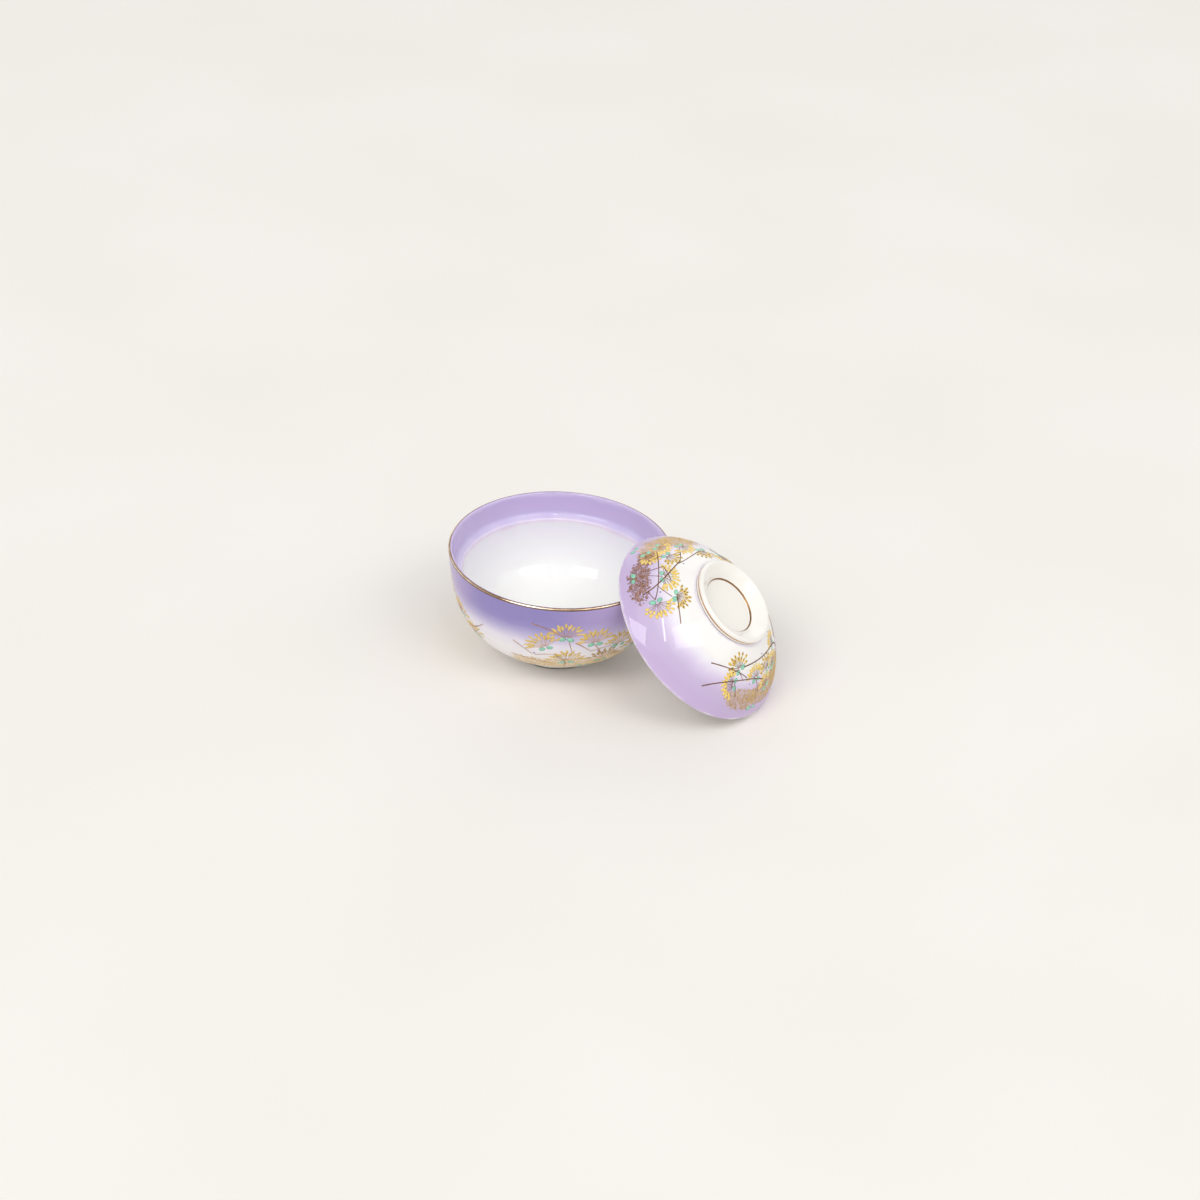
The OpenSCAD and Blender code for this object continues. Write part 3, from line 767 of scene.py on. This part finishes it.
# The sprays. Each umbel is its azimuth, its height on the face (mm), the way it faces (0 is up
# the face, plus to the right), its fan in degrees, its rays, their reach (mm) and its kind of dab.
# Each stem is the azimuth and height of its two ends, its bend in degrees and its width (mm).
# Each cloud is its azimuth, height, half width and half height (mm) and its gold. A dot or a pair of
# leaves is its azimuth and height. The whole spray is painted once at each of its turns (degrees).
lidSprays = {
    "seed": 23, "turns": (0.0,),
    "umbels": [
        (-135.4, 29.4, 20, 165, 15, 6.7, "heart"), (-132.6, 18.4, 77, 160, 18, 8.5, "plain"),
        (-154.6, 22.9, -5, 200, 25, 8.2, "plain"), (-179, 21.3, 8, 145, 14, 7.4, "heart"),
        (-175, 11, 30, 145, 18, 7.8, "plain"), (-186, 13.3, -10, 135, 16, 7.4, "plain"),
        (-199.5, 21.5, 0, 160, 19, 7.6, "plain"), (-214, 28.5, 0, 140, 14, 7.2, "heart"),
        (-41, 28, -45, 175, 16, 7.7, "heart"), (-44.2, 19.5, -95, 165, 20, 7.6, "plain"),
        (-20, 22.3, -10, 160, 18, 7.2, "plain"), (-1, 23, -20, 135, 14, 7.6, "heart"),
        (21, 28, 0, 130, 16, 7.2, "plain"), (-6, 14.5, -15, 130, 16, 7.4, "plain"),
        (10, 20, 0, 130, 16, 7.4, "plain"),
        (64, 28.4, -30, 160, 15, 7.2, "heart"), (60, 19, -90, 155, 18, 7.5, "plain"),
        (84, 22, 0, 165, 20, 7.6, "plain"), (104, 21.5, 10, 135, 14, 7.6, "heart"),
        (122, 29, 0, 135, 16, 7.0, "plain"), (98, 13, -10, 130, 16, 7.4, "plain")],
    "stems": [
        (-209.5, 29.8, -173.5, 29.3, 46, 0.56), (-190, 25.8, -177, 29.4, 21, 0.58),
        (-177, 29.4, -139.5, 12, 38, 0.66), (-180, 15.4, -134.6, 17.9, 54, 0.56),
        (-165, 22.3, -151, 27.6, 20, 0.5),
        (-165, 22.3, -157.4, 13.5, 8, 0.5), (-154.6, 22.9, -154.6, 15, 2, 0.42),
        (-134.6, 17.9, -142, 14.6, 4, 0.42), (-135.4, 27, -145, 20.6, 4, 0.42),
        (-137, 29.8, -111, 26, 18, 0.6), (-168, 14, -178, 20, -8, 0.42),
        (-67.8, 11.9, -10.8, 19.8, 66, 0.65), (-71, 24.6, -32, 23.5, 46, 0.58),
        (-36.8, 29.4, 31.6, 17.2, 61, 0.7), (-44, 20, -40, 13, 4, 0.42), (-20, 22, -17, 14, 2, 0.42),
        (-41, 26, -36, 22, 4, 0.42),
        (36, 12, 98, 19, 62, 0.62), (33, 24.6, 72, 25, 44, 0.58), (68, 29.4, 130, 24, 50, 0.7)],
    "dots": [(-176, 31.7), (-140.3, 21.3), (-174.5, 7.2), (-7.1, 33.4), (-27.9, 20), (23.4, 36.7),
             (96, 34), (76, 20)],
    "clouds": [(-150.5, 10.4, 15.5, 6.5, "brown"), (-171, 12.2, 6.5, 5.2, "brown"),
               (-185, 11.5, 17, 6.8, "gold"), (-207, 15, 14, 9, "gold"),
               (-32, 11.8, 15, 6.4, "gold"), (-7, 12.8, 17, 7.4, "gold"), (14, 15, 13, 8.5, "gold"),
               (92, 11.5, 26, 7, "gold")],
    "leafPairs": [(-152.5, 8.2), (-178.6, 4.1), (-21.5, 6.6), (84, 6.6)],
}
# The same on the bowl, with heights given as mm below the lip
bowlSprays = {
    "seed": 11, "turns": (0.0, -105, 122.0),
    "umbels": [
        (-95.5, 26.6, -32, 155, 17, 9.8, "plain"), (-84.6, 18.9, 5, 150, 15, 9.6, "plain"),
        (-68.5, 24.3, -4, 160, 17, 9.4, "plain"), (-52.5, 29.8, 0, 150, 16, 9.2, "plain"),
        (-83.1, 39.3, 0, 160, 17, 9.8, "plain"), (-60.5, 41, 5, 140, 15, 9.6, "gold"),
        (-40, 38, 0, 135, 14, 8.8, "plain")],
    "stems": [
        (-102.9, 10, -85.3, 17.9, 28, 0.6), (-113.8, 25, -102.9, 33.6, 14, 0.55),
        (-102, 33.6, -91, 31.4, 14, 0.5), (-79.5, 22.1, -70, 30, 10, 0.55),
        (-83, 21.4, -81, 29.3, 4, 0.45), (-91, 31.4, -84, 38, 12, 0.5), (-68.5, 25, -61, 38, 18, 0.5),
        (-70, 30, -53, 29, 24, 0.5), (-83.6, 39, -84, 48, 3, 0.45), (-60.5, 41, -62, 50, 3, 0.45),
        (-149.7, 33.6, -133.6, 22.9, -24, 0.55), (-117, 38, -92, 41, 10, 0.45)],
    "dots": [(-102, 32.1), (-65.6, 30.7), (-139.4, 27.9)],
    "clouds": [(-103, 43, 15, 6.6, "gold"), (-80, 42.5, 17, 7.6, "gold"), (-55, 43, 16, 7.4, "gold")],
    "leafPairs": [(-71, 46)],
}

# Strokes and dabs in millimetres, turns in degrees, shares of a ray's length
strokeSizes = {
    "heartRay": 0.16, "arch": 0.35, "sway": 3.0, "ragged": 0.06, "short": 0.2, "heartShort": 0.26,
    "lean": 5, "leanStep": 2.4, "leafSpread": 420, "leafSway": 8, "leafRagged": 0.1, "pairMark": 90,
    "floretSpacing": 0.5, "floretDensity": 4.0,
}
bodySizes = {"bowl": {"ray": 0.16, "leaf": 1.22, "leafAway": 2.4, "dot": 1.4},
             "lid": {"ray": 0.13, "leaf": 1.15, "leafAway": 2.2, "dot": 1.05}}
strokeKinds = {"Rays": {"begins": 0.16, "thinning": -0.9, "relief": 0.3, "lift": 0.0, "steps": 8},
               "Stems": {"begins": 0.0, "thinning": 0.35, "relief": 0.25, "lift": 0.1, "steps": 24}}
# Each kind of dab: how far in from the ray's end, its lift off the glaze, its least and most size
dabKinds = {"Petals": (0.2, 0.0, 0.88, 1.12), "Leaves": (0.0, 0.01, 0.88, 1.12),
            "Dots": (0.0, 0.0, 0.88, 1.12), "Hearts": (0.0, 0.1, 0.85, 1.1),
            "GoldPetals": (0.2, 0.0, 0.85, 1.0)}
strokeGold = {"bowl": paleGold, "lid": stemGold}
cloudGold = {"bowl": thinGold, "lid": floretGold}


def radiusAt(line, along):
    for walked, a, b in zip(lineLengths(line), line, line[1:]):
        step = math.dist(a, b)
        if walked + step >= along:
            return a[0] + (b[0] - a[0]) * (along - walked) / step
    return line[-1][0]


def fanPoint(azimuth, along, mark=0, facing=0, fan=0, rays=1, span=0, sway=0, short=0, ragged=0,
             arch=0, bend=0, width=0.3):
    turns = {"azimuth": azimuth, "facing": facing, "fan": fan, "sway": sway, "bend": bend}
    return {**{key: math.radians(value) for key, value in turns.items()}, "along": along * mm,
            "span": span * mm, "width": width * mm, "rays": float(rays), "mark": float(mark),
            "short": short, "ragged": ragged, "arch": arch}


def stemPoint(line, azimuth, along, endAzimuth, endAlong, bend, width):
    side = math.radians(endAzimuth - azimuth) * radiusAt(line, endAlong)
    half = math.radians(bend) / 2
    chord = math.hypot(side, endAlong - along)
    return fanPoint(azimuth, along, facing=math.degrees(math.atan2(side, endAlong - along)),
                    span=chord * half / math.sin(half), bend=bend, width=width)


def fanCarrier(name, points):
    return pointMesh(name, [(0, 0, 0)] * len(points),
                     **{key: [float(point[key]) for point in points] for key in points[0]})


# An oval patch that the florets are scattered on, fullest in the middle. The patches stand at
# different heights, so that they don't thin each other out, and the tree brings them back down.
# Each ring of a patch is its share of the way out and how full of florets it is.
cloudRings = ((1.0, 0.15), (0.72, 0.95), (0.0, 1.0))


def cloudCarrier(name, clouds, corners=20):
    rows, faces, fields = [], [], {"azimuth": [], "along": [], "fullness": []}
    for azimuth, along, halfWide, halfHigh in clouds:
        first = len(rows)
        for share, full in cloudRings:
            for i in range(corners if share else 1):
                turn = 2 * math.pi * i / corners
                rows.append((halfWide * share * math.cos(turn) * mm,
                             halfHigh * share * math.sin(turn) * mm, first * mm))
                fields["azimuth"].append(math.radians(azimuth))
                fields["along"].append(along * mm)
                fields["fullness"].append(full)
        for i in range(corners):
            a, b = first + i, first + (i + 1) % corners
            faces += [(a, b, b + corners, a + corners), (a + corners, b + corners, first + 2 * corners)]
    return pointMesh(name, rows, faces=faces, **fields)


def paintSprays(body, face, line, sprays, fromTop=0):
    def height(value):
        return fromTop - value if fromTop else value

    size = {**strokeSizes, **bodySizes[body]}
    rays, leaves, dots, stems = [], [], [], []
    dabs = {"plain": [], "heart": [], "gold": []}
    clouds = {"gold": [], "brown": []}
    for turn in sprays["turns"]:
        pairs = []
        for azimuth, along, facing, fan, count, reach, kind in sprays["umbels"]:
            mark, isHeart = len(rays) + 1, kind == "heart"
            if turn:
                facing += size["lean"] * math.sin(mark * size["leanStep"])
            point = fanPoint(azimuth + turn, height(along), mark, facing, fan, count, reach,
                             size["sway"], size["heartShort" if isHeart else "short"],
                             size["ragged"], size["arch"], width=size["heartRay" if isHeart else "ray"])
            rays.append(point)
            dabs[kind].append(point)
            pairs.append((azimuth, along, mark, facing))
        pairs += [(*pair, size["pairMark"] + i, 0) for i, pair in enumerate(sprays["leafPairs"])]
        leaves += [fanPoint(azimuth + turn, height(along), mark, facing, size["leafSpread"], 2,
                            size["leafAway"], size["leafSway"], 0, size["leafRagged"])
                   for azimuth, along, mark, facing in pairs]
        stems += [stemPoint(line, azimuth + turn, height(along), end + turn, height(endAlong), bend, width)
                  for azimuth, along, end, endAlong, bend, width in sprays["stems"]]
        dots += [fanPoint(azimuth + turn, height(along)) for azimuth, along in sprays["dots"]]
        for azimuth, along, halfWide, halfHigh, kind in sprays["clouds"]:
            clouds[kind].append((azimuth + turn, height(along), halfWide, halfHigh))

    jobs = [(name, strokeTree, fanCarrier(name, points), "gilding", {
        **strokeKinds[name], "lift": strokeKinds[name]["lift"] * mm, "gold": strokeGold[body]})
        for name, points in (("Rays", rays), ("Stems", stems))]
    for name, points, shape, scale, slotName, paint in (
            ("Petals", dabs["plain"] + dabs["heart"], petalShapes[body], 1, body + "_glaze",
             yellowEnamel[body]),
            ("Leaves", leaves, leafShape, size["leaf"], body + "_glaze", leafEnamel),
            ("Dots", dots, dotShape, size["dot"], body + "_glaze", violetEnamel),
            ("Hearts", dabs["heart"], heartShape, 1, "gilding", heartEnamel),
            ("GoldPetals", dabs["gold"], petalShapes[body], 1, "gilding", oldGoldEnamel)):
        if points:
            inset, lift, least, most = dabKinds[name]
            jobs.append((name, dabTree, fanCarrier(name, points), slotName, {
                "shape": shape, "inset": inset * mm, "lift": lift * mm, "leastSize": scale * least,
                "mostSize": scale * most, "enamel": paint}))
    for kind, gold in (("gold", cloudGold[body]), ("brown", brownGold)):
        if clouds[kind]:
            jobs.append((kind.capitalize() + "Florets", cloudTree, cloudCarrier("patch", clouds[kind]),
                         "gilding", {"shape": floretShape, "spacing": size["floretSpacing"] * mm,
                                     "density": size["floretDensity"] / mm ** 2, "gold": gold}))
    for name, tree, carrier, slotName, values in jobs:
        piece = madeWith(tree, body + name, carrier, places[body], face=face, seed=sprays["seed"], **values)
        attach(piece, body)
        print("painted", piece.name, len(piece.data.polygons), "faces")


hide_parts("bowl_body")
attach(bowlPiece, "bowl")
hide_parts("lid_body")
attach(lidPiece, "lid")
paintSprays("bowl", bellyFace, bellyLine, bowlSprays, lineLengths(bellyLine)[-1])
paintSprays("lid", domeFace, domeLine, lidSprays)
for helper in (bellyFace, lipFace, domeFace, handleFace, wellFace, *petalShapes.values(), heartShape,
               leafShape, dotShape, floretShape):
    bpy.data.objects.remove(helper)


# The floor: matte warm white paper, with tones that drift over a hand's width
paperFloor = {"half": 3.0, "patch": 180, "tones": [(0.3, "#f2eee8"), (0.7, "#f5f1ec")],
              "roughness": 0.9, "ior": 1.45, "specular": 0.15}
floorMaterial, floorTree, floorShader = newFinish(
    "matte warm white paper", paperFloor["roughness"], paperFloor["ior"])
floorShader.inputs["Specular IOR Level"].default_value = paperFloor["specular"]
patchyColour(floorTree, floorShader, paperFloor["patch"], 1.0, paperFloor["tones"])
half = paperFloor["half"]
floor = pointMesh("paperFloor", [(-half, -half, 0), (half, -half, 0), (half, half, 0), (-half, half, 0)],
                  faces=[(0, 1, 2, 3)])
floor.data.materials.append(floorMaterial)

# Light: two windows in front, left and right, a bright gap between them, and the pale walls of the
# room. Azimuths, heights and rolls in degrees, sizes in metres, level 1 looks white.
lamps = {
    "leftWindow": {"azimuth": -130, "height": 46, "roll": 14, "size": (3.9, 3.1), "level": 4.4},
    "rightWindow": {"azimuth": -46, "height": 47, "roll": -16, "size": (3.7, 2.9), "level": 2.4},
    "windowGap": {"azimuth": -78.3, "height": 60.5, "roll": 0, "size": (0.2, 3.8), "level": 10.0},
    "frontWall": {"azimuth": -82, "height": 60, "roll": 0, "size": (8.0, 7.0), "level": 0.68},
    "backWall": {"azimuth": 90, "height": 30, "roll": 0, "size": (7.0, 5.0), "level": 0.7},
    "rightWall": {"azimuth": -10, "height": 32, "roll": 0, "size": (5.0, 5.0), "level": 0.7},
}
lampDistance = 8
for name, lamp in lamps.items():
    light = bpy.data.lights.new(name, "AREA")
    light.shape = "RECTANGLE"
    light.size, light.size_y = lamp["size"]
    light.energy = lamp["level"] * math.pi * lamp["size"][0] * lamp["size"][1]
    azimuth, up = math.radians(lamp["azimuth"]), math.radians(lamp["height"])
    way = Vector((math.cos(up) * math.cos(azimuth), math.cos(up) * math.sin(azimuth), math.sin(up)))
    holder = newObject(name, light)
    holder.matrix_world = (Matrix.Translation(way * lampDistance)
                           @ (-way).to_track_quat("-Z", "Y").to_matrix().to_4x4()
                           @ Matrix.Rotation(math.radians(lamp["roll"]), 4, "Z"))

room = {"seen": "#f4efe9", "fill": "#fbfbfb", "fillLevel": 0.52}
world = bpy.data.worlds.new("pale room")
bpy.context.scene.world = world
world.use_nodes = True
roomTree = world.node_tree
roomTree.nodes.clear()
path = addNode(roomTree, "ShaderNodeLightPath").outputs
seen = path["Is Camera Ray"]
for kind in ("Is Glossy Ray", "Is Transmission Ray"):
    seen = addNode(roomTree, maximum, [seen, path[kind]])
fill, shown = [addNode(roomTree, "ShaderNodeBackground", [linearColour(room[name]), level])
               for name, level in (("fill", room["fillLevel"]), ("seen", 1.0))]
mixed = addNode(roomTree, "ShaderNodeMixShader", [seen, fill, shown])
addNode(roomTree, "ShaderNodeOutputWorld", [mixed])

# The camera, found from the ellipses of the rim and the seat
view = {"away": 1.6347, "height": 33.647, "yaw": -0.799, "pitch": 0.914, "roll": -2.969, "lens": 90,
        "sensor": 36, "sees": 20}
tilt = math.radians(view["height"])
stand = Vector((0, -view["away"] * math.cos(tilt), view["away"] * math.sin(tilt)))
ahead = (-stand).normalized()
right = Vector((1, 0, 0))
aim = Matrix((right, right.cross(ahead), ahead))
for angle, axis in (("yaw", "Y"), ("pitch", "X"), ("roll", "Z")):
    aim = Matrix.Rotation(math.radians(view[angle]), 3, axis) @ aim
eye = bpy.data.cameras.new("camera")
eye.lens, eye.sensor_width, eye.clip_end = view["lens"], view["sensor"], view["sees"]
camera = newObject("camera", eye)
camera.matrix_world = (Matrix.Translation(stand)
                       @ Matrix((aim[0], aim[1], -aim[2])).transposed().to_4x4())
bpy.context.scene.camera = camera
bpy.context.scene.view_settings.view_transform = "Standard"
print("floor, lamps and camera placed")
